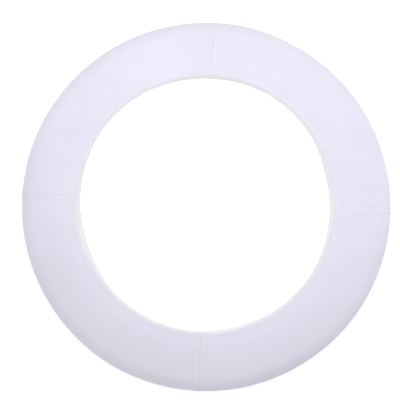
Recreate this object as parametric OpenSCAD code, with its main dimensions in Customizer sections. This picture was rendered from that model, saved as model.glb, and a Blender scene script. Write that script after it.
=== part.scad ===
// Padded rhythmic hoop: a rigid tube hoop between two foam layers, in a sewn cover with a hidden zip.
// The ring lies flat on the floor plane, with its axis on +Z and the middle of the zip on +Y.
// Azimuth is counted from +X, and every round part is turned about the ring's axis.

/* [Rigid hoop] */
// Clear diameter inside the rigid hoop, the size a hoop is sold by
hoop_clear_d = 800; // [700:10:900]
// Outside diameter of the hoop's tube
tube_d = 18; // [16:1:22]
// Wall thickness of the tube
tube_wall = 2; // [1:0.5:3]
// Length of the plug that joins the tube's two ends
plug_len = 70; // [40:5:100]
// Length of the tape wound over the joint
tape_len = 50; // [30:5:60]

/* [Padding] */
// Width of the padded band, from its hole to its outer edge
band_w = 150; // [130:5:180]
// Height of the padded ring off the floor
ring_h = 72; // [64:2:80]
// Radius of the soft corners around the hole
corner_r = 8; // [6:1:12]
// Distance from the cover's outside to the foam
foam_inset = 2.2; // [2:0.1:3]

/* [Cover] */
// Thickness of the cover fabric
cloth_t = 0.8; // [0.6:0.1:0.9]
// Width of the turned-under lap of the radial seams, at the outer edge
lap_w = 13; // [8:1:18]

/* [Zip] */
// Azimuth where the zip starts, at its closed end
zip_start = 7.5; // [5:0.5:30]
// Azimuth where the zip ends
zip_end = 172.5; // [150:0.5:175]
// How far below the widest line the zip lies, around the outer edge
zip_drop = 30; // [26:1:32]
// Width of the opening between the cover's edges along the zip
zip_gap = 12; // [11:1:14]
// Width of each tape, from the chain outwards
zip_tape_w = 14; // [12:1:15]
// Length of the slider
slider_len = 12; // [10:1:14]
// Length of the pull, from its pin
pull_len = 20; // [14:1:22]

/* [Hidden] */

// Azimuth, in degrees, of a length laid around the ring at a radius
function deg_at(len, r) = len / r * 180 / PI;

$fn = 96;
turn_fn = 240;              // facets of a full turn about the ring's axis

tube_centre_r = (hoop_clear_d + tube_d) / 2;
hole_r = tube_centre_r - band_w / 2;
outer_r = hole_r + band_w;
mid_z = ring_h / 2;         // height of the rigid hoop, and radius of the round outer edge
nose_r = outer_r - mid_z;   // centre line of the round outer edge
butt = 0.1;                 // gap between two pieces of cloth sewn edge to edge
butt_deg = 0.01;            // the same gap as an azimuth, on each side of a radial seam
past = 20;                  // how far a cutting shape reaches past what it cuts

quarter = 90;               // azimuth covered by one panel or one foam block
foam_front_turn = 45;       // the front foam's joints stand halfway between the back foam's
lap_deg = deg_at(lap_w, outer_r);
lap_root_deg = 0.3;         // strip where a lap stays joined to its own panel
lap_clear = 24.5 + 1.5;     // the laps stop short of the zip's tapes by this turn of the round edge

// The chain is built in a frame of its own: x out from the centre line of the round edge, y across it.
tape_t = 0.6;
tape_x = mid_z - cloth_t - 0.05;    // outer face of the tapes, just under the cover
chain_slit = 0.55;                  // half of the slit that the slider's post runs in
coil_w = 2.45;                      // width of one coil
coil_top = tape_x + 2;              // outer face of the coils
stop_len = 2.5;
stop_t = 0.7;
stop_start = zip_start + 0.5;       // azimuth of the top stops
stop_end = zip_end - 0.8;           // azimuth of the bottom stop

slider_turn = zip_start + 2;        // azimuth of the slider when the zip is closed
slider_w = 9.5;
slider_floor = [mid_z - 3.1, mid_z - 2];        // inner plate, under the tapes
slider_roof = [mid_z + 1.5, mid_z + 2.7];       // outer plate, over the coils
slider_side_in = 3.45;                          // inner face of the side flanges
foam_relief = mid_z - slider_floor[0] + 0.5;    // depth of the foam's channel behind the zip

pin_r = 0.9;
pin_bore_r = 0.98;
knuckle_r = 1.7;
knuckle_w = 3.5;
ear_in = 1.95;
ear_out = 3.05;
pin_x = slider_roof[1] + 1.9;
pull_t = 1.5;
pull_w = 6.4;
pull_neck = 3.2;                    // where the pull widens, clear of the ears

// Turns a drawing of the cross-section about the ring's axis, between two azimuths
module turned(from, to) {
    rotate_extrude(angle = to - from, start = from, $fn = turn_fn) children();
}

// ---- Cross-section of the padded ring, x along the radius and y up ----

// Outline of the whole ring, shrunk by inset: a flat band with a round outer edge and soft inner corners
module section(inset) {
    translate([nose_r, mid_z]) circle(r = mid_z - inset);
    translate([hole_r + corner_r, inset])
        square([nose_r - hole_r - corner_r, ring_h - 2 * inset]);
    translate([hole_r + inset, corner_r]) square([corner_r, ring_h - 2 * corner_r]);
    for (y = [corner_r, ring_h - corner_r])
        translate([hole_r + corner_r, y]) circle(r = corner_r - inset, $fn = 48);
}

// A layer of that outline, between two depths
module layer(depth, thickness) {
    difference() {
        section(depth);
        section(depth + thickness);
    }
}

function nose_point(angle) = [nose_r, mid_z] + (mid_z + past) * [cos(angle), sin(angle)];

// The part of the section that a front panel covers, from the hole's corner round to an edge line
module front_zone(edge) {
    rim = [hole_r + corner_r, ring_h - corner_r] + [butt, butt] / 2;
    polygon([
        rim, rim + [-past, past], [outer_r + past, ring_h + past], nose_point(edge), [nose_r, mid_z]
    ]);
}

// The same for a back panel
module back_zone(edge) {
    rim = [hole_r + corner_r, corner_r] + [butt, -butt] / 2;
    polygon([
        [nose_r, mid_z], nose_point(edge), [outer_r + past, -past], rim + [-past, -past], rim
    ]);
}

// The strip between them, around the hole
module inner_zone() {
    top = [hole_r + corner_r, ring_h - corner_r] - [butt, butt] / 2;
    low = [hole_r + corner_r, corner_r] + [-butt, butt] / 2;
    polygon([top, top + [-past, past], low + [-past, -past], low]);
}

module zone(front, edge) {
    if (front) front_zone(edge);
    else back_zone(edge);
}

// ---- Cover ----

// Edge line of a panel, by how far across the outer seam it stays back
function seam_edge(front, back_off) =
    -zip_drop + (front ? 1 : -1) * deg_at(back_off, mid_z);

module cloth(front, from, to, back_off) {
    turned(from, to) intersection() {
        layer(0, cloth_t);
        zone(front, seam_edge(front, back_off));
    }
}

// A panel's edge turned under the panel before it, so that a radial seam is two layers thick
module seam_lap(front, at) {
    edge = -zip_drop + (front ? 1 : -1) * lap_clear;
    turned(at - lap_deg, at + lap_root_deg) intersection() {
        layer(cloth_t + 0.05, cloth_t);
        zone(front, edge);
    }
    turned(at, at + lap_root_deg) intersection() {
        layer(cloth_t / 2, cloth_t);
        zone(front, edge);
    }
}

// One quarter of the front or of the back, with its edge cut back along the zip
module panel(front, index) {
    from = quarter * (index - 1) + butt_deg;
    to = quarter * index - butt_deg;
    open_from = max(from, zip_start);
    open_to = min(to, zip_end);
    if (open_from < open_to) {
        cloth(front, open_from, open_to, zip_gap / 2);
        if (open_from > from) cloth(front, from, open_from, butt / 2);
        if (open_to < to) cloth(front, open_to, to, butt / 2);
    } else {
        cloth(front, from, to, butt / 2);
    }
    seam_lap(front, from);
}

module front_panel(index) { color("lavender") panel(true, index); }
module back_panel(index) { color("ghostwhite") panel(false, index); }

module inner_wall() {
    color("whitesmoke") turned(-quarter / 2 + butt_deg, 360 - quarter / 2 - butt_deg)
        intersection() {
            layer(0, cloth_t);
            inner_zone();
        }
}

// ---- Foam ----

// One foam block of a layer, with its half of the groove that holds the rigid hoop
module foam(from, low) {
    turned(from, from + quarter) difference() {
        intersection() {
            section(foam_inset);
            translate([hole_r, low]) square([band_w, mid_z]);
        }
        translate([tube_centre_r, mid_z]) circle(d = tube_d + 1);
    }
}

module foam_front(index) {
    color("khaki") foam(foam_front_turn + quarter * (index - 1), mid_z);
}

module foam_back(index) {
    color("palegoldenrod") difference() {
        foam(quarter * (index - 1), 0);
        turned(zip_start - 1.5, zip_end + 1.5) zip_frame()
            translate([mid_z - foam_relief, -slider_w / 2 - 1]) square([past, slider_w + 2]);
    }
}

// ---- Rigid hoop ----

module tube_round(r) { translate([tube_centre_r, mid_z]) circle(r = r); }

// The tube is cut once, opposite the zip, where its ends meet
module hoop_tube() {
    color("white") turned(-90 + butt_deg, 270 - butt_deg) difference() {
        tube_round(tube_d / 2);
        tube_round(tube_d / 2 - tube_wall);
    }
}

module joint_plug() {
    half = deg_at(plug_len / 2, tube_centre_r);
    color("dimgray") turned(270 - half, 270 + half) tube_round(tube_d / 2 - tube_wall - 0.05);
}

module joint_tape() {
    half = deg_at(tape_len / 2, tube_centre_r);
    color("silver") turned(270 - half, 270 + half) difference() {
        tube_round(tube_d / 2 + 0.3);
        tube_round(tube_d / 2 + 0.05);
    }
}

// ---- Zip ----

// Puts a drawing in the chain's frame onto the cross-section
module zip_frame() { translate([nose_r, mid_z]) rotate(-zip_drop) children(); }

// The same frame as a solid one at an azimuth: x out, y along the chain, z across it
module at_zip(azimuth) {
    rotate(azimuth) translate([nose_r, 0, mid_z]) rotate([0, zip_drop, 0]) children();
}

// A curved strip of the chain between two radii and two distances from its middle
module chain_strip(r_in, r_out, side, near, far) {
    intersection() {
        difference() {
            circle(r = r_out);
            circle(r = r_in);
        }
        translate([0, side > 0 ? near : -far]) square([mid_z + past, far - near]);
    }
}

module zip_tape(side) {
    color("white") turned(zip_start - 1, zip_end + 1) zip_frame()
        chain_strip(tape_x - tape_t, tape_x, side, chain_slit, chain_slit + zip_tape_w);
}

module zip_coil(side) {
    color("gainsboro") turned(zip_start + 0.2, zip_end - 0.2) zip_frame()
        chain_strip(tape_x + 0.05, coil_top, side, chain_slit, chain_slit + coil_w);
}

// Half of a stop: a metal clip over the top and the outer side of one coil
module stop_clip(side, near) {
    outside = chain_slit + coil_w + 0.05;
    mirror([0, side > 0 ? 0 : 1]) {
        translate([coil_top + 0.05, near]) square([stop_t, outside + stop_t - near]);
        translate([tape_x + 0.3, outside]) square([coil_top + 0.1 - tape_x - 0.3, stop_t]);
    }
}

module stop_block(from) {
    color("silver") turned(from, from + deg_at(stop_len, outer_r)) zip_frame() children();
}

module zip_top_stops() {
    stop_block(stop_start) for (side = [1, -1]) stop_clip(side, chain_slit);
}

module zip_bottom_stop() {
    stop_block(stop_end) for (side = [1, -1]) stop_clip(side, 0);
}

// Outline of the slider's plates: rounded, with a waist behind its wide mouth
module slider_outline() {
    round_r = 1.5;
    waist_r = 9;
    difference() {
        union() {
            square([slider_w, slider_len - 2 * round_r], center = true);
            square([slider_w - 2 * round_r, slider_len], center = true);
            for (x = [1, -1], y = [1, -1])
                translate([x * (slider_w / 2 - round_r), y * (slider_len / 2 - round_r)])
                    circle(r = round_r, $fn = 32);
        }
        for (x = [1, -1])
            translate([x * (slider_w / 2 + waist_r - 0.8), slider_len / 6]) circle(r = waist_r);
    }
}

// Extrudes an outline (x across the chain, y along it) between two heights
module plate(low, high) {
    translate([low, 0, 0]) rotate([0, 90, 0]) linear_extrude(high - low) children();
}

module across(r, half_w) {
    translate([pin_x, 0, -half_w]) cylinder(r = r, h = 2 * half_w, $fn = 48);
}

module zip_slider() {
    color("lightslategray") at_zip(slider_turn) {
        plate(slider_floor[0], slider_floor[1]) slider_outline();
        plate(slider_roof[0], slider_roof[1]) slider_outline();
        // side flanges, open below for the tapes
        plate(tape_x + 0.25, slider_roof[0] + 0.1) difference() {
            slider_outline();
            square([2 * slider_side_in, slider_len + 1], center = true);
        }
        // thin post that joins the two plates and parts the coils
        translate([slider_floor[1] - 0.1, -slider_len / 2 + 0.8, -0.25])
            cube([slider_roof[0] - slider_floor[1] + 0.2, 3, 0.5]);
        // ears and pin for the pull
        for (side = [1, -1]) {
            middle = side * (ear_in + ear_out) / 2;
            ear_w = ear_out - ear_in;
            translate([pin_x, 0, middle - ear_w / 2]) cylinder(r = knuckle_r, h = ear_w, $fn = 48);
            translate([slider_roof[1] - 0.1, -knuckle_r, middle - ear_w / 2])
                cube([pin_x - slider_roof[1] + 0.1, 2 * knuckle_r, ear_w]);
        }
        across(pin_r, ear_out);
    }
}

// Outline of the pull: a narrow neck, a wider leaf with a round end, and a finger slot
module pull_outline() {
    leaf_r = pull_w / 2;
    shoulder_r = 1;
    difference() {
        union() {
            translate([-knuckle_w / 2, 0]) square([knuckle_w, pull_neck + leaf_r]);
            translate([-leaf_r, pull_neck + shoulder_r])
                square([pull_w, pull_len - leaf_r - pull_neck - shoulder_r]);
            translate([-leaf_r + shoulder_r, pull_neck]) square([pull_w - 2 * shoulder_r, leaf_r]);
            for (x = [1, -1])
                translate([x * (leaf_r - shoulder_r), pull_neck + shoulder_r])
                    circle(r = shoulder_r, $fn = 32);
            translate([0, pull_len - leaf_r]) circle(r = leaf_r);
        }
        for (y = [pull_len - leaf_r - 3, pull_len - leaf_r]) translate([0, y]) circle(r = 1.4);
        translate([-1.4, pull_len - leaf_r - 3]) square([2.8, 3]);
    }
}

module zip_pull() {
    color("silver") at_zip(slider_turn) difference() {
        union() {
            plate(pin_x - pull_t / 2, pin_x + pull_t / 2) pull_outline();
            across(knuckle_r, knuckle_w / 2);
        }
        across(pin_bore_r, knuckle_w);
    }
}

hoop_tube();
joint_plug();
joint_tape();
foam_front(1);  // foam_front_1
foam_front(2);  // foam_front_2
foam_front(3);  // foam_front_3
foam_front(4);  // foam_front_4
foam_back(1);  // foam_back_1
foam_back(2);  // foam_back_2
foam_back(3);  // foam_back_3
foam_back(4);  // foam_back_4
front_panel(1);  // front_panel_1
front_panel(2);  // front_panel_2
front_panel(3);  // front_panel_3
front_panel(4);  // front_panel_4
back_panel(1);  // back_panel_1
back_panel(2);  // back_panel_2
back_panel(3);  // back_panel_3
back_panel(4);  // back_panel_4
inner_wall();
zip_tape(1);  // zip_tape_upper
zip_tape(-1);  // zip_tape_lower
zip_coil(1);  // zip_coil_upper
zip_coil(-1);  // zip_coil_lower
zip_top_stops();
zip_bottom_stop();
zip_slider();
zip_pull();
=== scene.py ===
"""Looks of the padded rhythmic hoop: its sewn cover, foam, zip and thread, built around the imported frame.

The cover is one soft surface, given by azimuth (the angle round the ring) and girth (the distance round
the cross-section, from the upper rim seam over the front face, the outer edge and the back to the lower
rim seam, then up the inner wall). Every panel, stitch and foam block is placed on that surface.
"""

import math

import bpy
import numpy as np
from mathutils import Matrix, Vector


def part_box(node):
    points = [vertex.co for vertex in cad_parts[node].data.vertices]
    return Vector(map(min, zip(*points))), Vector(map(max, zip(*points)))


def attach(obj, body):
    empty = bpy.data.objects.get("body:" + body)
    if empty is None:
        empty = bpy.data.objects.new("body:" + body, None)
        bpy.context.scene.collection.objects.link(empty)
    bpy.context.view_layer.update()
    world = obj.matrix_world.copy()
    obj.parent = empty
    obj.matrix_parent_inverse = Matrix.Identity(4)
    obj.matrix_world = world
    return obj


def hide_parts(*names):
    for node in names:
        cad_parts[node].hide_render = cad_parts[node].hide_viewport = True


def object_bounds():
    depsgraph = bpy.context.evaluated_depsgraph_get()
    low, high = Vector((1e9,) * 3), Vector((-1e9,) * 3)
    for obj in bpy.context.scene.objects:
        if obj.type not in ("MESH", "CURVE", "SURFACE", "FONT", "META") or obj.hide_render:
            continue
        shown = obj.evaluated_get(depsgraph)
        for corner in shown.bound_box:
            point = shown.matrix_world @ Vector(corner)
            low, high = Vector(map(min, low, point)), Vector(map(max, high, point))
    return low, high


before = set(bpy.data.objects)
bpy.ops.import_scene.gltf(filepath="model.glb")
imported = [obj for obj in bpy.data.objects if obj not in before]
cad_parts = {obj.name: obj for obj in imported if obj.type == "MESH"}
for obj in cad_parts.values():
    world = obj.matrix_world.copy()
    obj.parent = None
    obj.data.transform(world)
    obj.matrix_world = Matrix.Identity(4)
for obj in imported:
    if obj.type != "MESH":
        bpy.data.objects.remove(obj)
cad_box = [list(corner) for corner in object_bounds()]

MM = 0.001
TAU = 2 * math.pi

# ---- sizes, from the frame

RING_H = cad_box[1][2]
OUTER_R = (cad_box[1][0] - cad_box[0][0]) / 2
MID_Z = RING_H / 2
NOSE_R = OUTER_R - MID_Z            # centre line of the round outer edge
tube_low, tube_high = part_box("hoop_tube")
TUBE_R = (tube_high.z - tube_low.z) / 2
HOOP_R = tube_high.x - TUBE_R       # centre line of the rigid hoop
HOLE_R = 2 * HOOP_R - OUTER_R
CORNER_R = 8 * MM                   # soft corners round the hole
CLOTH_T = 0.8 * MM
FOAM_DEPTH = 2.2 * MM
ZIP_DROP = math.radians(30)         # how far round the outer edge the zip lies
ZIP_START, ZIP_END = math.radians(7.5), math.radians(172.5)
ZIP_GAP = 12 * MM
LAP_W = 13 * MM                     # seam allowance turned under the panel before it
RIM_LAP = 7 * MM                    # seam allowance turned in at a rim
BUTT = 0.02 * MM                    # half of the gap between two sewn edges
COARSE, FINE = 3 * MM, 0.45 * MM    # grid steps of the cover, far from its seams and near
QUARTER = math.pi / 2

rng = np.random.default_rng(17)


# ---- small maths

def smooth(x, low, high):
    t = np.clip((np.asarray(x, float) - low) / (high - low), 0, 1)
    return t * t * (3 - 2 * t)


def bell(x, width):
    return np.exp(-((np.asarray(x, float) / width) ** 2))


def ring_noise(low, high, terms):
    """A smooth random function of azimuth that closes on itself, about -1 to 1, and its own harmonics."""
    waves = rng.integers(low, high, terms)
    phases = rng.uniform(0, TAU, terms)
    scale = math.sqrt(2 / terms) * 0.7

    def value(azimuth):
        angles = np.multiply.outer(np.asarray(azimuth, float), waves) + phases
        return np.cos(angles).sum(axis=-1) * scale

    return value


def spaced(low, high, step, edge_step=None, edge=0.0):
    """Values from low to high, step apart, and edge_step apart within edge of either end."""
    if not edge_step:
        return np.linspace(low, high, max(2, round((high - low) / step) + 1))
    fine = low + np.arange(0, edge, edge_step)
    middle = np.linspace(low + edge, high - edge, max(2, round((high - low - 2 * edge) / step) + 1))
    return np.concatenate([fine, middle, high - (fine - low)[::-1]])


# ---- the cross-section

def section_table(step=0.25 * MM):
    """Girth, radius, height and outward normal along the cross-section, from the upper rim seam."""
    inner_x = HOLE_R + CORNER_R
    top, low = RING_H - CORNER_R, CORNER_R
    arcs_and_lines = [
        ("arc", inner_x, top, CORNER_R, 135, 90),
        ("line", inner_x, RING_H, NOSE_R, RING_H, (0, 1)),
        ("arc", NOSE_R, MID_Z, MID_Z, 90, -90),
        ("line", NOSE_R, 0, inner_x, 0, (0, -1)),
        ("arc", inner_x, low, CORNER_R, 270, 180),
        ("line", HOLE_R, low, HOLE_R, top, (-1, 0)),
        ("arc", inner_x, top, CORNER_R, 180, 135),
    ]
    girth, points, start = [], [], 0.0
    for kind, *values in arcs_and_lines:
        if kind == "arc":
            x, z, radius, a, b = values
            length = radius * math.radians(abs(b - a))
            count = max(3, round(length / step))
            angles = np.radians(np.linspace(a, b, count + 1))
            cos, sin = np.cos(angles), np.sin(angles)
            part = np.stack([x + radius * cos, z + radius * sin, cos, sin], axis=1)
        else:
            x0, z0, x1, z1, normal = values
            length = math.hypot(x1 - x0, z1 - z0)
            count = max(3, round(length / step))
            t = np.linspace(0, 1, count + 1)
            part = np.stack([x0 + (x1 - x0) * t, z0 + (z1 - z0) * t,
                             np.full_like(t, normal[0]), np.full_like(t, normal[1])], axis=1)
        girth.append(start + np.linspace(0, length, count + 1)[:-1])
        points.append(part[:-1])
        start += length
    girth.append([start])
    points.append(points[0][:1])
    return np.concatenate(girth), np.concatenate(points)


GIRTHS, SECTION = section_table()
GIRTH = GIRTHS[-1]
CORNER_ARC = CORNER_R * math.pi / 4
FLAT = NOSE_R - HOLE_R - CORNER_R
NOSE_START = CORNER_ARC + FLAT
EDGE = NOSE_START + MID_Z * (QUARTER + ZIP_DROP)    # the seam between front and back panels
BACK_START = NOSE_START + MID_Z * math.pi           # where the flat back starts
LOWER_RIM = BACK_START + FLAT + CORNER_ARC


def girth_at(angle):
    """Girth at an angle round the outer edge, in radians above its widest line."""
    return NOSE_START + MID_Z * (QUARTER - angle)


def section(girth):
    """Radius, height and outward normal of the plain section."""
    g = np.mod(girth, GIRTH)
    return [np.interp(g, GIRTHS, SECTION[:, k]) for k in range(4)]


# ---- softness

FRONT_SHIFT = np.array([-2.8, 3.4]) * MM    # how far off the ring's middle the hole's front rim sits
BACK_SHIFT = np.array([-1.8, 7.7]) * MM     # and its back rim
FRONT_IN, BACK_OUT = 3.6 * MM, 3.7 * MM     # the inner wall leans: narrow at the front, wide at the back
SCALLOP = 2.2 * MM                          # the seams draw the back rim in
RIM_PULLS = (                               # azimuth and width in degrees, then pull on front and back rim
    (0, 4, 2.0 * MM, 0),
    (18, 8, 0, -3.0 * MM),
    (24, 32, 0, -6.0 * MM),
    (95, 5, 1.2 * MM, 0),
    (198, 9, 3.5 * MM, 0),
    (203, 16, 0, -6.0 * MM),
    (262, 22, 0, 5.5 * MM),
)
RIM_RIPPLE = 0.4 * MM                       # small waves along the two rims
OUTLINE_WAVE = 0.8 * MM                     # slow waves of the outer edge
FRONT_WAVE, FRONT_RISE = 0.7 * MM, 40 * MM  # slow waves of the front face, and how they start from the rim
CROWN = 4.5 * MM                            # height of the front's dome, over the simulated swell
CROWN_AT, CROWN_REACH = 52 * MM, 80 * MM    # its middle's girth and how far it reaches from there
CROWN_RISE, CROWN_FALL = 35 * MM, 45 * MM   # it starts and ends over these lengths of girth
SEAM_HOLD = 0.1                             # how strongly the radial seams hold the cover back
LAST_FRAME = 30                             # the cloth has come to rest by then
SEAM_SHIFT = 11 * MM                        # the front's two side seams lie this far off the middle

crown_noise = ring_noise(2, 9, 6)
outline_noise = ring_noise(3, 14, 8)
pucker_noise = [ring_noise(60, 140, 14) for _ in range(4)]
ease_noise = [ring_noise(18, 44, 10) for _ in range(3)]
seam_wave = [ring_noise(40, 120, 8) for _ in range(4)]


def inflate(rows, columns):
    """Cloth simulation of the cover blown up over its foam, as movements (radial, around, up) on a grid."""
    girth = np.arange(rows) / rows * GIRTH
    azimuth = np.arange(columns) / columns * TAU
    r, z, _, _ = section(girth)
    cos, sin = np.cos(azimuth), np.sin(azimuth)
    start = np.stack([np.outer(r, cos), np.outer(r, sin), np.outer(z, np.ones(columns))], axis=-1)
    i, j = np.meshgrid(np.arange(rows), np.arange(columns), indexing="ij")
    down, along = (i + 1) % rows, (j + 1) % columns
    index = lambda a, b: (a * columns + b).ravel()
    quads = np.stack([index(i, j), index(down, j), index(down, along), index(i, along)], axis=1)
    mesh = bpy.data.meshes.new("cover_form")
    mesh.from_pydata(start.reshape(-1, 3), [], quads)
    form = bpy.data.objects.new("cover_form", mesh)
    bpy.context.scene.collection.objects.link(form)

    held = form.vertex_groups.new(name="held")
    spacing = GIRTH / rows
    near = lambda at: np.abs((girth - at + GIRTH / 2) % GIRTH - GIRTH / 2) < spacing * 0.75
    sewn = near(0) | near(EDGE) | near(LOWER_RIM)
    on_floor = (girth > BACK_START - 4 * MM) & (girth < LOWER_RIM)
    held_rows = sewn | on_floor
    seam_columns = np.arange(columns) % (columns // 4) == 0
    grid = np.arange(rows * columns).reshape(rows, columns)
    held.add(grid[:, seam_columns].ravel().tolist(), SEAM_HOLD, "REPLACE")
    held.add(grid[held_rows].ravel().tolist(), 1.0, "REPLACE")

    cloth = form.modifiers.new("cloth", "CLOTH")
    s = cloth.settings
    s.quality = 6
    s.mass = 0.25
    s.tension_stiffness = s.compression_stiffness = 80
    s.shear_stiffness = 6
    s.bending_stiffness = 2
    s.tension_damping = s.compression_damping = s.shear_damping = 25
    s.air_damping = 5
    s.use_pressure = True
    s.uniform_pressure_force = 0.1
    s.vertex_group_mass = "held"
    s.effector_weights.gravity = 0
    cloth.collision_settings.use_collision = False
    cloth.collision_settings.use_self_collision = False
    scene = bpy.context.scene
    for number in range(1, LAST_FRAME + 1):
        scene.frame_set(number)
    result = form.evaluated_get(bpy.context.evaluated_depsgraph_get()).data
    end = np.empty(rows * columns * 3)
    result.vertices.foreach_get("co", end)
    end = end.reshape(rows, columns, 3)
    bpy.data.objects.remove(form)
    bpy.data.meshes.remove(mesh)
    scene.frame_set(1)
    move = end - start
    move = np.stack([move[..., 0] * cos + move[..., 1] * sin,
                     move[..., 1] * cos - move[..., 0] * sin, move[..., 2]], axis=-1)
    return settled(settled(move, 0), 1)


def settled(move, axis):
    """Takes the last tremble out of the simulated cloth along one axis of its grid."""
    for _ in range(3):
        move = 0.5 * move + 0.25 * (np.roll(move, 1, axis) + np.roll(move, -1, axis))
    return move


GRID_ROWS, GRID_COLUMNS = 64, 480           # of the simulated cloth, round the section and round the ring
MOST_SWELL = 9 * MM                         # the simulated swell stays below this
swell = inflate(GRID_ROWS, GRID_COLUMNS)
length = np.linalg.norm(swell, axis=-1, keepdims=True) + 1e-9
swell = swell * MOST_SWELL * np.tanh(length / MOST_SWELL) / length


def cubic_weights(t):
    """Weights of four grid values beside a place that lies t of the way from the second to the third."""
    return (((-0.5 * t + 1) * t - 0.5) * t, (1.5 * t - 2.5) * t * t + 1,
            ((-1.5 * t + 2) * t + 0.5) * t, (0.5 * t - 0.5) * t * t)


def swell_at(azimuth, girth):
    """The swell grid read smoothly at any place."""
    x = np.mod(azimuth, TAU) / TAU * GRID_COLUMNS
    y = np.mod(girth, GIRTH) / GIRTH * GRID_ROWS
    x0, y0 = np.floor(x).astype(int), np.floor(y).astype(int)
    wx, wy = cubic_weights(x - x0), cubic_weights(y - y0)
    total = 0
    for a in range(4):
        for b in range(4):
            part = swell[(y0 + a - 1) % GRID_ROWS, (x0 + b - 1) % GRID_COLUMNS]
            total = total + part * (wy[a] * wx[b])[..., None]
    return total


def rim_shape(azimuth, height):
    """How far outward the hole's soft edge stands, from the back rim at height 0 to the front rim at 1."""
    cos, sin = np.cos(azimuth), np.sin(azimuth)
    front = FRONT_SHIFT[0] * cos + FRONT_SHIFT[1] * sin - FRONT_IN
    back = BACK_SHIFT[0] * cos + BACK_SHIFT[1] * sin + BACK_OUT - SCALLOP * np.cos(4 * azimuth)
    for at, width, front_pull, back_pull in RIM_PULLS:
        apart = (azimuth - math.radians(at) + math.pi) % TAU - math.pi
        near = bell(apart, math.radians(width))
        front, back = front + front_pull * near, back + back_pull * near
    front = front + RIM_RIPPLE * pucker_noise[0](azimuth) * height ** 6
    back = back + RIM_RIPPLE * pucker_noise[1](azimuth) * (1 - height) ** 6
    return back + (front - back) * height


def placed(r, azimuth, z):
    """Puts a point of the plain ring where the soft one has it, as x, y, z."""
    inward = smooth(HOOP_R - TUBE_R - r, 0, HOOP_R - TUBE_R - HOLE_R)
    r = r + inward * rim_shape(azimuth, np.clip(z / RING_H, 0, 1))
    outward = (1 - inward) * smooth(r, HOOP_R, OUTER_R) * smooth(z, MID_Z * 0.6, RING_H)
    r = r + outward * OUTLINE_WAVE * outline_noise(azimuth)
    front = smooth(z, MID_Z * 0.75, MID_Z * 1.7)
    azimuth = azimuth + SEAM_SHIFT * np.cos(azimuth) / r * front
    return np.stack([r * np.cos(azimuth), r * np.sin(azimuth), z + 0 * r], axis=-1)


def soft_point(azimuth, girth, depth=0.0):
    """A point of the swollen cover, depth below its surface."""
    azimuth, girth = np.broadcast_arrays(azimuth, np.mod(girth, GIRTH))
    r, z, out_r, out_z = section(girth)
    move = swell_at(azimuth, girth)
    face = smooth(girth, 0, FRONT_RISE) * (1 - smooth(girth, NOSE_START, EDGE))
    lift = face * FRONT_WAVE * crown_noise(azimuth) - depth
    dome = (1 - ((girth - CROWN_AT) / CROWN_REACH) ** 2) * smooth(girth, 0, CROWN_RISE)
    lift = lift + CROWN * dome * (1 - smooth(girth, NOSE_START, NOSE_START + CROWN_FALL))
    r2 = r + move[..., 0] + out_r * lift
    z2 = np.maximum(z + move[..., 2] + out_z * lift, np.where(out_z < -0.5, np.maximum(depth, 0), 0))
    return placed(r2, azimuth + move[..., 1] / r, z2)


# ---- sewn relief

RADIAL_ROWS = (2.2 * MM, 10.4 * MM)     # stitch rows beside a radial seam
RIM_ROW = 4.2 * MM                      # stitch row beside a rim seam
ZIP_ROW = 5 * MM                        # stitch row beside the zip's opening
CREASE, CREASE_W = 0.6 * MM, 1.1 * MM   # depth and width of the valley at a seam
RADIAL_CREASE = 0.2 * MM                # the radial seams are pressed flat
ROW_SINK, ROW_W = 0.2 * MM, 0.7 * MM    # a stitch row sinks into the cloth
HEM_TURN, HEM_W = 0.4 * MM, 0.6 * MM    # the hemmed edges turn in towards the zip
LAP_RISE = 0.4 * MM                     # the lap under a radial seam shows through
LAP_FROM = (0.1 * MM, 1.2 * MM)         # it fades in over this stretch beside the seam
LAP_TO = (LAP_W - 0.8 * MM, LAP_W + 1.8 * MM)   # and out over this one
RIM_HELD = (0.3 * MM, 7 * MM)           # the waves fade in over this stretch from a rim
ZIP_TAPER = 4 * MM                      # length over which the edges part at an end of the zip
RADIAL_PUFF = (0.3 * MM, 7 * MM, 5 * MM)    # low swell beside a seam: height, distance from it and width
EDGE_PUFF = (0.5 * MM, 6 * MM, 4 * MM)
NEAR_SEAM = 45 * MM                     # the radial seams gather the cloth this far from them
PUCKER, PUCKER_REACH = 0.6 * MM, 11 * MM    # short gathers along a rim
EASE, EASE_AT, EASE_REACH = 0.8 * MM, 12 * MM, 16 * MM      # longer ones, a little way off it
DRAG, DRAG_REACH = 0.22 * MM, 9 * MM    # fine waves along a radial seam
DRAG_TURN = 14                          # turns metres of that seam into radians of its waves
MOST_SINK = FOAM_DEPTH - CLOTH_T - 0.2 * MM     # deeper than this the cloth would touch the foam


def crease(distance, depth=CREASE):
    """The valley at a seam."""
    return -depth * np.exp(-((np.abs(distance) / CREASE_W) ** 1.4))


def puff(distance, height, away, width):
    """The low swell beside a seam."""
    return height * bell(distance - away, width)


def kept_out(relief):
    """Keeps the cloth from sinking into the foam."""
    return np.where(relief < 0, -MOST_SINK * np.tanh(-relief / MOST_SINK), relief)


def stitch_channel(distance):
    """The shallow channel under a row of stitches."""
    return -ROW_SINK * bell(distance, ROW_W)


def lap_band(distance):
    """1 where a radial seam's turned-under lap doubles the cloth, on the negative side of the seam."""
    return np.where(distance < 0, smooth(-distance, *LAP_FROM) - smooth(-distance, *LAP_TO), 0.0)


def radial_relief(distance):
    """Height of the cloth beside a radial seam."""
    beside = puff(np.abs(distance), *RADIAL_PUFF)
    rows = sum(stitch_channel(distance + row) for row in RADIAL_ROWS)
    return crease(distance, RADIAL_CREASE) + LAP_RISE * lap_band(distance) + beside + rows


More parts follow.
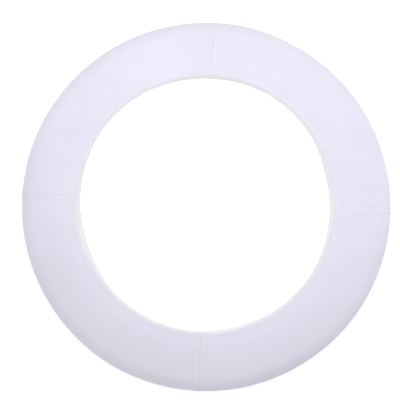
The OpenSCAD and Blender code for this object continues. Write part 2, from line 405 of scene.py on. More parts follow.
def edge_relief(distance, row=None):
    """Height of the cloth beside a seam along an edge, with a row of stitches if it has one."""
    relief = crease(distance) + puff(distance, *EDGE_PUFF)
    return relief if row is None else relief + stitch_channel(distance - row)


def free_of_rim(distance):
    """0 at a rim, where two pieces are sewn together and have to meet, 1 beyond its stitches."""
    return smooth(distance, *RIM_HELD)


def open_zip(azimuth):
    """1 where the zip parts the cover's edges, 0 beyond its ends."""
    end = ZIP_TAPER / OUTER_R
    return smooth(azimuth, ZIP_START, ZIP_START + end) * (1 - smooth(azimuth, ZIP_END - end, ZIP_END))


def panel_relief(front, azimuth, girth, start, end, edge_girth):
    """Everything that sewing does to a panel, as height over the soft surface."""
    r = section(girth)[0]
    relief = radial_relief((azimuth - start) * r) + radial_relief((azimuth - end) * r)
    rim = girth if front else LOWER_RIM - girth
    edge = np.abs(edge_girth - girth)
    relief = relief + edge_relief(rim, RIM_ROW)
    opened = open_zip(azimuth)
    hem = stitch_channel(edge - ZIP_ROW) - HEM_TURN * bell(edge, HEM_W)
    relief = relief + (1 - opened) * edge_relief(edge) + opened * hem
    pucker, ease = (pucker_noise[0], ease_noise[0]) if front else (pucker_noise[2], ease_noise[1])
    near_seam = bell((azimuth - start) * r, NEAR_SEAM) + bell((end - azimuth) * r, NEAR_SEAM)
    strength = 0.25 + 0.9 * near_seam
    waves = PUCKER * strength * pucker(azimuth) * np.exp(-rim / PUCKER_REACH)
    waves = waves + EASE * ease(azimuth) * near_seam * bell(rim - EASE_AT, EASE_REACH)
    number = int(round(start / QUARTER)) % 4
    along = girth * DRAG_TURN + number
    for distance, wave in (((azimuth - start) * r, seam_wave[number]),
                           ((end - azimuth) * r, seam_wave[(number + 1) % 4])):
        waves = waves + DRAG * wave(along) * np.exp(-np.abs(distance) / DRAG_REACH)
    return kept_out(relief + waves * free_of_rim(rim))


# ---- meshes

def grid_faces(rows, columns, offset=0, flip=False):
    """Quads over a grid of points, numbered row by row from offset."""
    i, j = np.meshgrid(np.arange(rows - 1), np.arange(columns - 1), indexing="ij")
    a = (i * columns + j + offset).ravel()
    quads = np.stack([a, a + 1, a + 1 + columns, a + columns], axis=1)
    return quads[:, ::-1] if flip else quads


def shell_faces(rows, columns):
    """Quads of a thin closed shell made of an outer and an inner grid."""
    size = rows * columns
    grid = np.arange(size).reshape(rows, columns)
    rim = np.concatenate([grid[0, :-1], grid[:-1, -1], grid[-1, :0:-1], grid[:0:-1, 0]])
    after = np.roll(rim, -1)
    sides = np.stack([after, rim, rim + size, after + size], axis=1)
    return np.concatenate([grid_faces(rows, columns), grid_faces(rows, columns, size, True), sides])


def new_object(name, points, faces, material, uv=None):
    """A smooth-shaded object in the scene, with one UV place for each of its points."""
    mesh = bpy.data.meshes.new(name)
    mesh.from_pydata(np.asarray(points, float).reshape(-1, 3), [], faces, shade_flat=False)
    if uv is not None:
        corners = np.empty(len(mesh.loops), dtype=np.int32)
        mesh.loops.foreach_get("vertex_index", corners)
        layer = mesh.uv_layers.new(name="cloth")
        layer.data.foreach_set("uv", np.asarray(uv, np.float32).reshape(-1, 2)[corners].ravel())
    mesh.validate()
    mesh.update()
    mesh.materials.append(material)
    obj = bpy.data.objects.new(name, mesh)
    bpy.context.scene.collection.objects.link(obj)
    return obj


def outward_normals(points):
    """Unit normals of a grid of points, by its neighbours."""
    normals = np.cross(np.gradient(points, axis=0), np.gradient(points, axis=1))
    return normals / (np.linalg.norm(normals, axis=-1, keepdims=True) + 1e-12)


def shell(name, outer, uv, material, thickness=CLOTH_T):
    """A closed sheet of cloth under a grid of outer points."""
    rows, columns = outer.shape[:2]
    inner = outer - outward_normals(outer) * thickness
    points = np.concatenate([outer.reshape(-1, 3), inner.reshape(-1, 3)])
    uv = np.concatenate([uv.reshape(-1, 2)] * 2)
    return new_object(name, points, shell_faces(rows, columns)[:, ::-1], material, uv)


# ---- materials

class Nodes:
    """A material's node tree, with short ways to add and join nodes."""

    def __init__(self, name):
        self.material = bpy.data.materials.new(name)
        self.material.use_nodes = True
        self.tree = self.material.node_tree
        self.tree.nodes.clear()
        self.shader = self.add("ShaderNodeBsdfPrincipled")
        output = self.add("ShaderNodeOutputMaterial")
        self.tree.links.new(self.shader.outputs[0], output.inputs[0])

    def add(self, kind, inputs=None, **settings):
        node = self.tree.nodes.new(kind)
        for key, value in settings.items():
            setattr(node, key, value)
        for key, value in (inputs or {}).items():
            if isinstance(value, bpy.types.NodeSocket):
                self.tree.links.new(value, node.inputs[key])
            else:
                node.inputs[key].default_value = value
        return node

    def math(self, kind, *values):
        return self.add("ShaderNodeMath", dict(enumerate(values)), operation=kind).outputs[0]

    def noise(self, where, scale, detail=3.0, roughness=0.55):
        return self.add("ShaderNodeTexNoise", {"Vector": where, "Scale": scale, "Detail": detail,
                                               "Roughness": roughness}).outputs["Fac"]

    def ramp(self, value, *stops):
        node = self.add("ShaderNodeValToRGB", {"Fac": value})
        while len(node.color_ramp.elements) < len(stops):
            node.color_ramp.elements.new(0.5)
        for element, (place, colour) in zip(node.color_ramp.elements, stops):
            element.position = place
            element.color = (*colour, 1)
        return node.outputs["Color"]

    def mix(self, share, first, second):
        return self.add("ShaderNodeMix", {0: share, 6: first, 7: second}, data_type="RGBA").outputs[2]

    def object_place(self):
        return self.add("ShaderNodeTexCoord").outputs["Object"]

    def bump(self, height, distance, strength=1.0, after=None):
        inputs = {"Height": height, "Distance": distance, "Strength": strength}
        if after:
            inputs["Normal"] = after
        return self.add("ShaderNodeBump", inputs).outputs["Normal"]

    def set(self, **values):
        """Sets the shader's sockets: Base_Color is Base Color."""
        for key, value in values.items():
            socket = self.shader.inputs[key.replace("_", " ")]
            if isinstance(value, bpy.types.NodeSocket):
                self.tree.links.new(value, socket)
            else:
                socket.default_value = value
        return self.material


def shades(colour, *factors):
    """Darker and lighter shades of a colour."""
    return [tuple(min(1.0, c * f) for c in colour) for f in factors]


def woven(name, colour, thread=0.55 * MM, twill=False, depth=0.12 * MM):
    """Plain or twill woven cloth. Its threads follow the UV map, in metres, laid out as the cloth was cut."""
    n = Nodes(name)
    uv = n.add("ShaderNodeUVMap", uv_map="cloth").outputs["UV"]
    split = n.add("ShaderNodeSeparateXYZ", {"Vector": uv})
    x, y = split.outputs["X"], split.outputs["Y"]
    turn = TAU / (2 * thread)
    warp = n.math("SINE", n.math("MULTIPLY", x, turn))
    weft = n.math("SINE", n.math("MULTIPLY", n.math("ADD", y, x) if twill else y, turn))
    over = n.math("MULTIPLY", warp, weft)
    cloth_place = n.object_place()
    slub = n.noise(n.add("ShaderNodeMapping", {"Vector": uv, "Scale": (60, 900, 1)}).outputs[0], 1.0, 2.0)
    patch = n.noise(cloth_place, 7.0, 4.0, 0.6)
    fuzz = n.noise(cloth_place, 900.0, 2.0)
    # tone: random patches and slubs, plus painted shade from the weave: a little lighter on raised thread
    # crossings, darker between threads
    tone = n.math("ADD", n.math("MULTIPLY", patch, 0.55),
                  n.math("ADD", n.math("MULTIPLY", slub, 0.25), n.math("MULTIPLY", over, 0.05)))
    low, mid, high = shades(colour, 0.955, 1.0, 1.03)
    tint = n.ramp(tone, (0.22, low), (0.42, mid), (0.62, high))
    doubled = n.add("ShaderNodeAttribute", attribute_name="doubled").outputs["Fac"]
    thicker = (colour[0] * 1.04, colour[1] * 1.04, colour[2], 1)
    tint = n.mix(n.math("MULTIPLY", doubled, 0.42), tint, thicker)
    height = n.math("ADD", n.math("MULTIPLY", over, 0.5), n.math("MULTIPLY", fuzz, 0.35))
    creases = n.noise(cloth_place, 38.0, 3.0, 0.5)
    normal = n.bump(creases, 0.5 * MM, 0.35)
    normal = n.bump(height, depth, 0.6, normal)
    roughness = n.math("ADD", n.math("MULTIPLY", slub, 0.1), 0.8)
    return n.set(Base_Color=tint, Roughness=roughness, Normal=normal, Sheen_Weight=0.12,
                 Sheen_Roughness=0.45, Specular_IOR_Level=0.25)


def foam_material():
    """Open-cell polyurethane foam, cream coloured, with fine cells and some larger pores, and painted shade
    in the cells' hollows.
    """
    n = Nodes("foam")
    place = n.object_place()
    cells = n.add("ShaderNodeTexVoronoi", {"Vector": place, "Scale": 620.0}).outputs["Distance"]
    pores = n.add("ShaderNodeTexVoronoi", {"Vector": place, "Scale": 150.0}).outputs["Distance"]
    patch = n.noise(place, 9.0)
    colour = (0.86, 0.79, 0.58)
    dark, mid, light = shades(colour, 0.78, 1.0, 1.06)
    # painted shade: the colour darkens where the cells' bump is low, in their hollows, mixed with random
    # patches
    tone = n.math("ADD", n.math("MULTIPLY", cells, 0.5), n.math("MULTIPLY", patch, 0.5))
    height = n.math("ADD", cells, n.math("MULTIPLY", n.math("GREATER_THAN", pores, 0.16), 0.6))
    return n.set(Base_Color=n.ramp(tone, (0.15, dark), (0.45, mid), (0.8, light)), Roughness=0.95,
                 Normal=n.bump(height, 0.4 * MM, 0.8), Specular_IOR_Level=0.1)


def thread_material():
    """Spun polyester thread: fine twisted plies, with painted shade in the grooves between them."""
    n = Nodes("thread")
    place = n.object_place()
    ply = n.add("ShaderNodeTexWave", {"Vector": place, "Scale": 900.0, "Distortion": 3.0, "Detail": 2.0},
                bands_direction="DIAGONAL").outputs["Fac"]
    # painted shade: the ply bands that make the bump also make the colour, lighter on the plies and darker in
    # the grooves
    low, high = shades((0.82, 0.81, 0.88), 0.9, 1.04)
    return n.set(Base_Color=n.ramp(ply, (0.2, low), (0.8, high)), Roughness=0.55, Sheen_Weight=0.1,
                 Normal=n.bump(ply, 0.05 * MM, 0.5))


def plastic(name, colour, roughness, grain, marks=0.03):
    """Moulded or drawn plastic with a faint grain and light scuffs."""
    n = Nodes(name)
    place = n.object_place()
    mottle = n.noise(place, 60.0, 4.0)
    scuffs = n.noise(n.add("ShaderNodeMapping", {"Vector": place, "Scale": (40, 40, 900)}).outputs[0], 1.0)
    fine = n.noise(place, grain, 2.0)
    low, high = shades(colour, 1 - marks, 1 + marks)
    rough = n.math("ADD", n.math("MULTIPLY", scuffs, 0.18), roughness - 0.08)
    return n.set(Base_Color=n.ramp(mottle, (0.3, low), (0.7, high)), Roughness=rough,
                 Normal=n.bump(fine, 0.04 * MM, 0.5))


def cast_metal(name):
    """Nickel-plated die casting: tumbled, with worn bright edges, painted shade in its hollows and fine
    scratches.
    """
    n = Nodes(name)
    place = n.object_place()
    edge = n.add("ShaderNodeNewGeometry").outputs["Pointiness"]
    grime = n.noise(place, 420.0, 4.0)
    scratch = n.noise(n.add("ShaderNodeMapping", {"Vector": place, "Scale": (2500, 300, 300)}).outputs[0],
                      1.0, 2.0)
    # Pointiness lightens convex edges as wear and darkens concave hollows as painted shade; grime adds random
    # darker patches
    tone = n.math("ADD", n.math("MULTIPLY", grime, 0.5), n.math("MULTIPLY", edge, 0.6))
    tint = n.ramp(tone, (0.3, (0.5, 0.5, 0.51)), (0.55, (0.68, 0.68, 0.69)), (0.8, (0.82, 0.82, 0.82)))
    rough = n.math("ADD", n.math("MULTIPLY", scratch, 0.22), 0.2)
    return n.set(Base_Color=tint, Metallic=0.95, Roughness=rough, Normal=n.bump(grime, 0.05 * MM, 0.4))


COVER_WHITE = (0.745, 0.733, 0.843)
INNER_WHITE = (0.775, 0.775, 0.78)

cover_cloth = woven("cover_cloth", COVER_WHITE)
inner_cloth = woven("inner_cloth", INNER_WHITE)
tape_cloth = woven("tape_cloth", (0.84, 0.84, 0.87), thread=0.4 * MM, twill=True, depth=0.15 * MM)
foam_look = foam_material()
thread = thread_material()
coil_plastic = plastic("coil_plastic", (0.85, 0.85, 0.87), 0.38, 1500.0)


# ---- the cover's panels

SEAM_FINE, RIM_FINE = 16 * MM, 7 * MM       # the fine grid steps reach this far from a seam and from a rim
PANEL_GIRTH = 188 * MM                      # about a panel's width, for the size of its grid steps
ZIP_COLUMNS = np.linspace(-6, 6, 17) * MM   # more grid columns about an end of the zip's opening


def cut_uv(azimuth, girth, rim_girth):
    """Flat place, in metres, of a point of a panel: round the panel's own middle line, as it was cut."""
    flat_r = HOLE_R + np.abs(girth - rim_girth)
    return np.stack(np.broadcast_arrays(flat_r * np.cos(azimuth), flat_r * np.sin(azimuth)), axis=-1)


def panel_edge(front, azimuth):
    """Girth of a panel's outer edge: at the seam, or back from it along the zip."""
    back = BUTT + open_zip(azimuth) * (ZIP_GAP / 2 - BUTT)
    return EDGE - back if front else EDGE + back


def build_panel(front, number):
    """One quarter of the front or the back of the cover."""
    start, end = QUARTER * (number - 1), QUARTER * number
    half_butt = BUTT / HOOP_R
    azimuth = spaced(start + half_butt, end - half_butt, COARSE / HOOP_R, FINE / HOOP_R, SEAM_FINE / HOOP_R)
    if number <= 2:
        zip_end = ZIP_START if number == 1 else ZIP_END
        azimuth = np.union1d(azimuth, zip_end + ZIP_COLUMNS / HOOP_R)
    share = spaced(0, 1, COARSE / PANEL_GIRTH, FINE / PANEL_GIRTH, RIM_FINE / PANEL_GIRTH)[:, None]
    edge = panel_edge(front, azimuth)[None, :]
    rim = BUTT if front else LOWER_RIM - BUTT
    girth = rim + (edge - rim) * share
    relief = panel_relief(front, azimuth[None, :], girth, start, end, edge)
    outer = soft_point(azimuth[None, :], girth, -relief)
    uv = cut_uv(azimuth[None, :], girth, rim)
    if not front:
        outer, uv = outer[::-1], uv[::-1]
    side = "front" if front else "back"
    panel = shell(f"cover_{side}_{number}", outer, uv, cover_cloth)
    r = section(girth)[0]
    rim_lap = 1 - smooth(np.abs(girth - rim), RIM_LAP, RIM_LAP + MM)
    doubled = np.clip(lap_band((azimuth[None, :] - end) * r) + rim_lap, 0, 1)
    if not front:
        doubled = doubled[::-1]
    layers = panel.data.attributes.new("doubled", "FLOAT", "POINT")
    layers.data.foreach_set("value", np.tile(doubled.ravel(), 2).astype(np.float32))
    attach(panel, "hoop")
    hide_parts(f"{side}_panel_{number}")


WALL_FINE = 6 * MM                          # reach of the fine grid steps on the inner wall
WALL_PUCKER, WALL_REACH = 0.5 * MM, 12 * MM
WALL_EASE, WALL_EASE_AT, WALL_EASE_REACH = 0.6 * MM, 30 * MM, 22 * MM


def build_inner_wall():
    """The strip of cloth round the hole, with its one seam between two panels' seams."""
    seam = -QUARTER / 2
    half_butt = BUTT / HOOP_R
    azimuth = spaced(seam + half_butt, seam + TAU - half_butt, COARSE / HOOP_R, 0.5 * MM / HOOP_R,
                     WALL_FINE / HOOP_R)
    girth = spaced(LOWER_RIM + BUTT, GIRTH - BUTT, COARSE, FINE, WALL_FINE)[:, None]
    up = GIRTH - girth
    down = girth - LOWER_RIM
    relief = edge_relief(up) + edge_relief(down)
    relief = relief + crease((azimuth - seam) * HOLE_R) + crease((azimuth - seam - TAU) * HOLE_R)
    for distance, wave in ((up, pucker_noise[1]), (down, pucker_noise[3])):
        waves = WALL_PUCKER * wave(azimuth) * np.exp(-distance / WALL_REACH)
        relief = relief + waves * free_of_rim(distance)
    relief = relief + WALL_EASE * ease_noise[2](azimuth) * bell(up - WALL_EASE_AT, WALL_EASE_REACH)
    for corner in range(4):
        across = (azimuth - QUARTER * corner + math.pi) % TAU - math.pi
        relief = relief + radial_relief(across * HOLE_R) * bell(np.minimum(up, down), 9 * MM)
    outer = soft_point(azimuth[None, :], girth, -kept_out(relief))
    uv = np.stack(np.broadcast_arrays(azimuth[None, :] * HOLE_R, girth), axis=-1)
    wall = shell("cover_inner_wall", outer, uv, inner_cloth)
    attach(wall, "hoop")
    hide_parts("inner_wall")


for number in (1, 2, 3, 4):
    build_panel(True, number)
    build_panel(False, number)
build_inner_wall()


# ---- foam

CHANNEL_SIDES = np.array([-9.5, -8, -6.5, 0, 6.5, 8, 9.5]) * MM     # girths across the channel under the zip
CHANNEL_DEPTH = 1.6 * MM
CHANNEL_PAST, CHANNEL_RUN = 0.026, 0.03     # it runs out between these angles past the zip, in radians
SKIN_STEP, BLOCK_STEP = 5 * MM, 8 * MM      # grid steps of a block, round its section and along it
GROOVE_ROOM = 0.5 * MM                      # round the hoop's tube
GROOVE_SIDE = 14 * MM                       # the split face has a point this far from the tube's middle
LEDGE = 12 * MM                             # and one this far in from the ring's two edges
SPLIT_GAP = 0.1 * MM                        # from the middle of the height to the split face of a layer
END_GAP = 0.2 * MM                          # from a block's end to its joint with the next one


def foam_outline(front, azimuth):
    """Closed outline of a foam block at each azimuth: its skin, then its split face with the groove."""
    if front:
        girth = spaced(GIRTH - (CORNER_ARC + MID_Z - CORNER_R), GIRTH + girth_at(0), SKIN_STEP)
    else:
        girth = spaced(girth_at(0), LOWER_RIM + CORNER_ARC + MID_Z - CORNER_R, SKIN_STEP)
        girth = np.union1d(girth, EDGE + CHANNEL_SIDES)
    girth = girth[:, None]
    started = smooth(azimuth, ZIP_START - CHANNEL_RUN, ZIP_START - CHANNEL_PAST)
    relieved = started * (1 - smooth(azimuth, ZIP_END + CHANNEL_PAST, ZIP_END + CHANNEL_RUN))
    across = smooth(np.abs(girth - EDGE), CHANNEL_SIDES[-3], CHANNEL_SIDES[-1])
    channel = 0 if front else CHANNEL_DEPTH * relieved * (1 - across)
    skin = soft_point(azimuth[None, :], girth, FOAM_DEPTH + channel)
    groove = TUBE_R + GROOVE_ROOM
    sweep = np.linspace(0, math.pi, 13)
    side = 1 if front else -1
    r = np.concatenate([[OUTER_R - LEDGE, HOOP_R + GROOVE_SIDE], HOOP_R + groove * np.cos(sweep),
                        [HOOP_R - GROOVE_SIDE, HOLE_R + LEDGE]])
    z = MID_Z + side * np.concatenate([[0, 0], groove * np.sin(sweep), [0, 0]]) + side * SPLIT_GAP
    if not front:
        r, z = r[::-1], z[::-1]
    middle = placed(r[:, None], azimuth[None, :], z[:, None])
    return np.concatenate([skin, middle])


def build_foam(front, number):
    """One foam block. The front layer's joints lie halfway between those of the back layer."""
    start = QUARTER * (number - 1) + (QUARTER / 2 if front else 0)
    gap = END_GAP / HOOP_R
    azimuth = spaced(start + gap, start + QUARTER - gap, BLOCK_STEP / HOOP_R)
    outline = foam_outline(front, azimuth)
    points, columns = outline.shape[:2]
    faces = grid_faces(points + 1, columns) % (points * columns)
    caps = [list((np.arange(points) * columns)[::-1]), list(np.arange(points) * columns + columns - 1)]
    side = "front" if front else "back"
    faces = faces[:, ::-1].tolist() + caps
    block = new_object(f"foam_block_{side}_{number}", outline, faces, foam_look)
    block.data.shade_smooth()
    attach(block, "hoop")
    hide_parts(f"foam_{side}_{number}")


for number in (1, 2, 3, 4):
    build_foam(True, number)
    build_foam(False, number)


# ---- zip

def chain_place(azimuth, out, across):
    """A point beside the chain: out from the centre line of the outer edge, across towards the front."""
    r = NOSE_R + out * math.cos(ZIP_DROP) + across * math.sin(ZIP_DROP)
    z = MID_Z - out * math.sin(ZIP_DROP) + across * math.cos(ZIP_DROP)
    return np.stack([r * np.cos(azimuth), r * np.sin(azimuth), z + 0 * r], axis=-1)


TAPE_OUT = MID_Z - CLOTH_T - 0.05 * MM      # outer face of the tapes
TAPE_T = 0.6 * MM
TAPE_NEAR, TAPE_FAR = 0.55 * MM, 14.55 * MM     # a tape's two edges, from the middle of the chain
TAPE_PAST = 0.017                           # the tapes run on this far past the opening, in radians
COIL_ROW = 3.9 * MM                         # the row that sews the coil to its tape
CHAIN_R = NOSE_R + MID_Z * math.cos(ZIP_DROP)


def build_tape(side):
    """One woven tape, pressed in a little along the row that sews its coil on."""
    azimuth = spaced(ZIP_START - TAPE_PAST, ZIP_END + TAPE_PAST, 3.5 * MM / CHAIN_R)[None, :]
    across = spaced(TAPE_NEAR, TAPE_FAR, 1.0 * MM, 0.3 * MM, 0.9 * MM)[:, None]
    sway = 0.05 * MM * np.cos(azimuth * 130) * smooth(across, 4 * MM, TAPE_FAR)
    seat = np.sqrt(TAPE_OUT ** 2 - across ** 2) - sway - 0.12 * MM * bell(across - COIL_ROW, 0.5 * MM)
    outer = chain_place(*np.broadcast_arrays(azimuth, seat, side * across))
    uv = np.stack(np.broadcast_arrays(azimuth * CHAIN_R, across), axis=-1)
    if side > 0:
        outer, uv = outer[::-1], uv[::-1]
    name = "upper" if side > 0 else "lower"
    tape = shell(f"zip_web_{name}", outer, uv, tape_cloth, TAPE_T)
    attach(tape, "hoop")
    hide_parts(f"zip_tape_{name}")


def tube_along(path, radius, sides):
    """Points and faces of a round tube swept along a path, with closed ends."""
    ahead = np.gradient(path, axis=0)
    ahead /= np.linalg.norm(ahead, axis=1, keepdims=True)
    up = np.array([0.0, 0.0, 1.0]) - ahead * ahead[:, 2:]
    up /= np.linalg.norm(up, axis=1, keepdims=True) + 1e-9
    out = np.cross(ahead, up)
    angles = np.arange(sides) / sides * TAU
    ring = up[:, None] * np.cos(angles)[None, :, None] + out[:, None] * np.sin(angles)[None, :, None]
    points = path[:, None] + ring * radius
    count = len(path)
    i, j = np.meshgrid(np.arange(count - 1), np.arange(sides), indexing="ij")
    a, b = i * sides + j, i * sides + (j + 1) % sides
    faces = np.stack([a, b, b + sides, a + sides], axis=-1).reshape(-1, 4).tolist()
    faces += [list(range(sides))[::-1], list(range((count - 1) * sides, count * sides))]
    return points.reshape(-1, 3), faces


def build_coil(side):
    """A coil of the zip: one filament wound round and round, flattened, with its heads at the slit."""
    wire = 0.31 * MM            # the filament's radius
    pitch = 1.5 * MM
    turn_points, sides = 10, 5
    low, high = ZIP_START + math.radians(0.25), ZIP_END - math.radians(0.25)
    turns = int((high - low) * CHAIN_R / pitch)
    phase = np.arange(turns * turn_points + 1) / turn_points
    angle = phase * TAU
    azimuth = low + (phase + (0.5 if side > 0 else 0)) * pitch / CHAIN_R
    near, far = 0.36 * MM + wire, 3.0 * MM - wire
    inner, outer = TAPE_OUT + 0.05 * MM + wire, TAPE_OUT + 2 * MM - wire
    across = (near + far) / 2 - (far - near) / 2 * np.cos(angle)
    out = (inner + outer) / 2 + (outer - inner) / 2 * np.sin(angle)
    path = chain_place(azimuth, out, side * across)
    points, faces = tube_along(path, wire, sides)
    name = "upper" if side > 0 else "lower"
    coil = new_object(f"zip_teeth_{name}", points, faces, coil_plastic)
    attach(coil, "hoop")
    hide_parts(f"zip_coil_{name}")


for side in (1, -1):
    build_tape(side)
    build_coil(side)


# ---- stitching

STITCH_PITCH = 3.6 * MM
STITCH_SHARE = 0.8              # a stitch covers this share of its pitch
THREAD_R = 0.26 * MM
STITCH_SHAPE = np.array([       # place along a stitch, lift in thread widths, thickness
    (0.0, -0.4, 0.55),
    (0.16, 0.02, 0.95),
    (0.5, 0.14, 1.05),
    (0.84, 0.02, 0.95),
    (1.0, -0.4, 0.55),
])
STITCH_SIDES = 6
ROW_END = 7 * MM                # a row stops this far short of its seam's ends
TACK_ROWS, TACK_STITCHES = 6, 3     # rows of each tack, and stitches in a row
TACK_STEP, TACK_PAST = 0.55 * MM, 1.2 * MM      # from row to row, and how far past the opening it starts


def build_stitches(name, rows):
    """Lock stitches along rows. A row is a function, from places along it to points and outward normals,
    and its length."""
    points, faces = [], []
    for place, length in rows:
        count = int(length / STITCH_PITCH)
        middles = (np.arange(count) + 0.5) * STITCH_PITCH
        along = middles[:, None] + (STITCH_SHAPE[:, 0] - 0.5)[None, :] * STITCH_SHARE * STITCH_PITCH
        where, normal = place(along)
        ahead = np.gradient(where, axis=1)
        ahead /= np.linalg.norm(ahead, axis=-1, keepdims=True) + 1e-12
        beside = np.cross(normal, ahead)
        lift = STITCH_SHAPE[None, :, 1, None] * 2 * THREAD_R
        width = STITCH_SHAPE[None, :, 2, None, None] * THREAD_R
        angles = np.arange(STITCH_SIDES) / STITCH_SIDES * TAU
        ring = normal[:, :, None] * np.sin(angles)[:, None] + beside[:, :, None] * np.cos(angles)[:, None]
        body = (where + normal * lift)[:, :, None] + ring * width
        first = sum(len(p) for p in points)
        points.append(body.reshape(-1, 3))
        rings, sides = len(STITCH_SHAPE), STITCH_SIDES
        size = rings * sides
        i, j = np.meshgrid(np.arange(rings - 1), np.arange(sides), indexing="ij")
        a, b = (i * sides + j).ravel(), (i * sides + (j + 1) % sides).ravel()
        quads = np.stack([a, b, b + sides, a + sides], axis=-1)
        offsets = first + np.arange(count) * size
        faces += (offsets[:, None, None] + quads[None, ::-1]).reshape(-1, 4).tolist()
        caps = np.stack([np.arange(sides)[::-1], np.arange(size - sides, size)])
        faces += (offsets[:, None, None] + caps[None]).reshape(-1, sides).tolist()
    stitches = new_object(name, np.concatenate(points), faces, thread)
    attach(stitches, "hoop")


def on_cover(azimuth, girth, height):
    """Point and outward normal of the cover, with the sewn relief taken as a height."""
    azimuth, girth = np.broadcast_arrays(azimuth, girth)
    step = 0.5 * MM
    here = soft_point(azimuth, girth, -height)
    here[..., 2] = np.maximum(here[..., 2], 1.5 * THREAD_R)
    round_the_ring = soft_point(azimuth + step / HOOP_R, girth) - soft_point(azimuth, girth)
    round_the_section = soft_point(azimuth, girth + step) - soft_point(azimuth, girth)
    normal = np.cross(round_the_ring, round_the_section)
    return here, -normal / (np.linalg.norm(normal, axis=-1, keepdims=True) + 1e-12)


def panel_height(front, azimuth, girth):
    """The sewn relief at places that may lie on any of the four panels of one side."""
    azimuth = np.mod(azimuth, TAU)
    edge = panel_edge(front, azimuth)
    number = np.floor(azimuth / QUARTER)
    height = np.zeros(np.broadcast(azimuth, girth).shape)
    for k in range(4):
        part = panel_relief(front, azimuth, girth, QUARTER * k, QUARTER * (k + 1), edge)
        height = np.where(number == k, part, height)
    return height


def on_panel(front, azimuth, girth):
    """Point and outward normal for a thread that lies on a panel."""
    return on_cover(azimuth, girth, panel_height(front, azimuth, girth) + THREAD_R)


def radial_row(front, seam, offset):
    """A row beside a radial seam, from the rim to the outer seam or the zip."""
    low, high = (ROW_END, EDGE - ROW_END) if front else (EDGE + ROW_END, LOWER_RIM - ROW_END)
    if seam == 1:
        low, high = (low, high - ZIP_GAP / 2) if front else (low + ZIP_GAP / 2, high)

    def place(along):
        girth = low + along
        return on_panel(front, seam * QUARTER - offset / section(girth)[0], girth)

    return place, high - low


def rim_row(front):
    """The row round the hole, beside a rim seam."""
    girth = RIM_ROW if front else LOWER_RIM - RIM_ROW
    radius = section(girth)[0]

    def place(along):
        return on_panel(front, along / radius, girth)

    return place, TAU * radius


def zip_row(front):
    """The row beside the zip's opening."""
    def place(along):
        azimuth = ZIP_START + ROW_END / CHAIN_R + along / CHAIN_R
        girth = panel_edge(front, azimuth) + (-ZIP_ROW if front else ZIP_ROW)
        return on_panel(front, azimuth, girth)

    return place, (ZIP_END - ZIP_START) * CHAIN_R - 2 * ROW_END


def tack_row(end, inward):
    """One row of the tack that closes an end of the zip's opening, across the seam."""
    azimuth = end + inward / CHAIN_R

    def place(along):
        return on_cover(azimuth, EDGE - TACK_STITCHES / 2 * STITCH_PITCH + along, THREAD_R)

    return place, (TACK_STITCHES + 0.5) * STITCH_PITCH


both = (True, False)
tacks = [tack_row(end, turn * (k * TACK_STEP - TACK_PAST))
         for end, turn in ((ZIP_START, 1), (ZIP_END, -1)) for k in range(TACK_ROWS)]
build_stitches("stitches_radial", [radial_row(front, seam, row)
                                   for front in both for seam in range(4) for row in RADIAL_ROWS])
build_stitches("stitches_rims", [rim_row(front) for front in both])
build_stitches("stitches_zip", [zip_row(front) for front in both] + tacks)


# ---- finishes of the rigid pieces

finishes = {
    "hoop_tube": plastic("hoop_plastic", (0.86, 0.87, 0.88), 0.28, 260.0),
    "joint_plug": plastic("plug_plastic", (0.09, 0.09, 0.1), 0.55, 500.0, 0.1),
    "joint_tape": plastic("joint_tape_film", (0.62, 0.64, 0.68), 0.35, 900.0, 0.06),
}
metal = cast_metal("zip_nickel")
for node in ("zip_top_stops", "zip_bottom_stop", "zip_slider", "zip_pull"):
    finishes[node] = metal
for node, finish in finishes.items():
    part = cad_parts[node]
    if not part.material_slots:
        part.data.materials.append(finish)
    for material_slot in part.material_slots:
        material_slot.material = finish


# ---- stage, light and camera

FLOOR_HALF, FLOOR_DROP = 30.0, 0.4 * MM     # half of its side, and how far it lies under the ring
SKY_FALL = (-0.156, -0.032, -0.672)         # how the sky's light changes along each axis
SKY_LEVEL = 0.984                           # and its mean


def pale_floor():
    """White studio paper that glows a little, so that it stays white round the ring."""
    n = Nodes("floor_paper")
    place = n.object_place()
    grain = n.noise(place, 30.0, 3.0)
    n.set(Base_Color=(0.25, 0.25, 0.25, 1), Roughness=0.9, Normal=n.bump(grain, 0.2 * MM, 0.1),
          Specular_IOR_Level=0.1, Emission_Color=(1, 1, 1, 1), Emission_Strength=0.84)
    signs = ((-1, -1), (1, -1), (1, 1), (-1, 1))
    corners = [(x * FLOOR_HALF, y * FLOOR_HALF, -FLOOR_DROP) for x, y in signs]
    floor = new_object("floor", corners, [(0, 1, 2, 3)], n.material)


def area_light(name, place, aim, size, power):
    """A round white softbox, aimed at a point."""
    data = bpy.data.lights.new(name, "AREA")
    data.shape, data.size, data.energy = "DISK", size, power
    light = bpy.data.objects.new(name, data)
    light.location = place
    light.rotation_mode = "QUATERNION"
    light.rotation_quaternion = (Vector(aim) - Vector(place)).to_track_quat("-Z", "Y")
    bpy.context.scene.collection.objects.link(light)


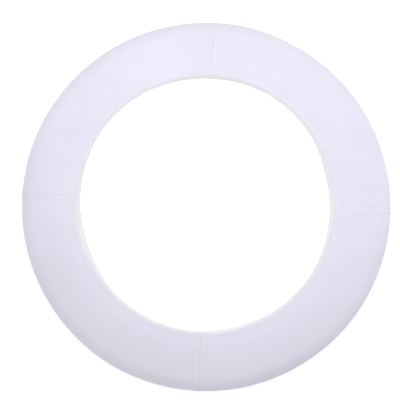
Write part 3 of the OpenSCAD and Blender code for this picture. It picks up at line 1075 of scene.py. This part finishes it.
def studio_world():
    """Soft white light from all round, brighter towards the horizon than overhead."""
    world = bpy.data.worlds.new("studio")
    world.use_nodes = True
    tree = world.node_tree
    where = tree.nodes.new("ShaderNodeTexCoord")
    toward = tree.nodes.new("ShaderNodeVectorMath")
    toward.operation = "DOT_PRODUCT"
    toward.inputs[1].default_value = SKY_FALL
    level = tree.nodes.new("ShaderNodeMath")
    level.operation = "ADD"
    level.inputs[1].default_value = SKY_LEVEL
    tree.links.new(where.outputs["Generated"], toward.inputs[0])
    tree.links.new(toward.outputs["Value"], level.inputs[0])
    background = tree.nodes["Background"]
    background.inputs["Color"].default_value = (1, 1, 1, 1)
    tree.links.new(level.outputs[0], background.inputs["Strength"])
    bpy.context.scene.world = world


pale_floor()
studio_world()
area_light("key", (0, 0.15, 1.5), (0, 0.1, 0), 0.6, 6.3)
area_light("fill", (-0.3, 0.5, 1.2), (-0.1, 0.3, 0), 0.6, 3.6)
area_light("side", (1.4, 0.6, 0.8), (0, 0, 0), 0.9, 5.8)

VIEW_DISTANCE = 2.236           # from the middle of the ring's height
VIEW_TILT = math.radians(2.35)  # the camera stands a little towards -Y
VIEW_ROLL = math.radians(2.3)
VIEW_AIM = Vector((-16.4 * MM, 14.6 * MM, 0))   # the picture's middle, from the ring's, in picture axes
FRAME_W = 1.0525                # width seen at that distance
SENSOR_W = 36                   # the camera's sensor, in millimetres

roll = Matrix.Rotation(VIEW_ROLL, 3, "Z")
tilt = Matrix.Rotation(VIEW_TILT, 3, "X")
turn = tilt @ roll
camera_data = bpy.data.cameras.new("camera")
camera_data.sensor_width = SENSOR_W
camera_data.lens = SENSOR_W * VIEW_DISTANCE / FRAME_W
camera = bpy.data.objects.new("camera", camera_data)
camera.rotation_mode = "QUATERNION"
camera.rotation_quaternion = turn.to_quaternion()
camera.location = Vector((0, 0, MID_Z)) + turn @ (VIEW_AIM + Vector((0, 0, VIEW_DISTANCE)))
bpy.context.scene.collection.objects.link(camera)
bpy.context.scene.camera = camera
bpy.context.scene.view_settings.view_transform = "Standard"
